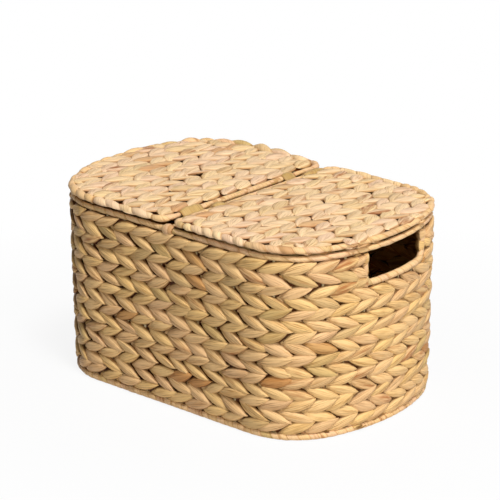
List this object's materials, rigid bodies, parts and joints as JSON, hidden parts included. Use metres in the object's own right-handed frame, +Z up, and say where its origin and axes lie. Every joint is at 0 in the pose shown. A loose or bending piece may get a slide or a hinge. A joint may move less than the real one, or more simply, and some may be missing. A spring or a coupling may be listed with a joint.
{
  "type": "picnic basket",
  "caption": "Oblong basket of twined leaf strands on a wire frame, with hand holes in its ends and two half lids hinged on a crossbar over the middle.",
  "frame": {"origin": "on the ground plane, under the middle of the base", "axes": "+X along the length towards the right-hand end in the picture, +Y to the back, +Z up"},
  "size_m": [0.3788, 0.25, 0.2025],
  "materials": {
    "leaf_weave": "dry flat leaf strands, satin, twined",
    "leaf_wrap": "dry leaf strip wound tight, satin",
    "leaf_strap": "broad dry leaf strip, slightly green, satin",
    "frame_wire": "pale lacquered wire, dull"
  },
  "bodies": {
    "basket": {"base_edge_wrap": "leaf_wrap", "base_wire_frame": "frame_wire", "crossbar_lashing_back": "leaf_strap", "crossbar_lashing_front": "leaf_strap", "crossbar_wire": "frame_wire", "crossbar_wrap": "leaf_wrap", "floor_weave": "leaf_weave", "left_hand_hole_wire": "frame_wire", "left_hand_hole_wrap": "leaf_wrap", "left_lid_strap_back": "leaf_strap", "left_lid_strap_front": "leaf_strap", "right_hand_hole_wire": "frame_wire", "right_hand_hole_wrap": "leaf_wrap", "right_lid_strap_back": "leaf_strap", "right_lid_strap_front": "leaf_strap", "rim_and_stake_wires": "frame_wire", "rim_wrap": "leaf_wrap", "wall_weave_lower": "leaf_weave", "wall_weave_upper_back": "leaf_weave", "wall_weave_upper_front": "leaf_weave"},
    "left_lid": {"left_lid_end_wrap": "leaf_wrap", "left_lid_seam_wrap_back": "leaf_wrap", "left_lid_seam_wrap_front": "leaf_wrap", "left_lid_seam_wrap_middle": "leaf_wrap", "left_lid_weave": "leaf_weave", "left_lid_wire_frame": "frame_wire"},
    "right_lid": {"right_lid_end_wrap": "leaf_wrap", "right_lid_seam_wrap_back": "leaf_wrap", "right_lid_seam_wrap_front": "leaf_wrap", "right_lid_seam_wrap_middle": "leaf_wrap", "right_lid_weave": "leaf_weave", "right_lid_wire_frame": "frame_wire"}
  },
  "joints": [
    {"name": "left_lid_hinge", "type": "hinge", "parent": "basket", "child": "left_lid", "pos_m": [-0.007, 0, 0.19825], "axis": [0, 1, 0], "range_deg": [0, 90]},
    {"name": "right_lid_hinge", "type": "hinge", "parent": "basket", "child": "right_lid", "pos_m": [0.007, 0, 0.19825], "axis": [0, -1, 0], "range_deg": [0, 90]}
  ]
}
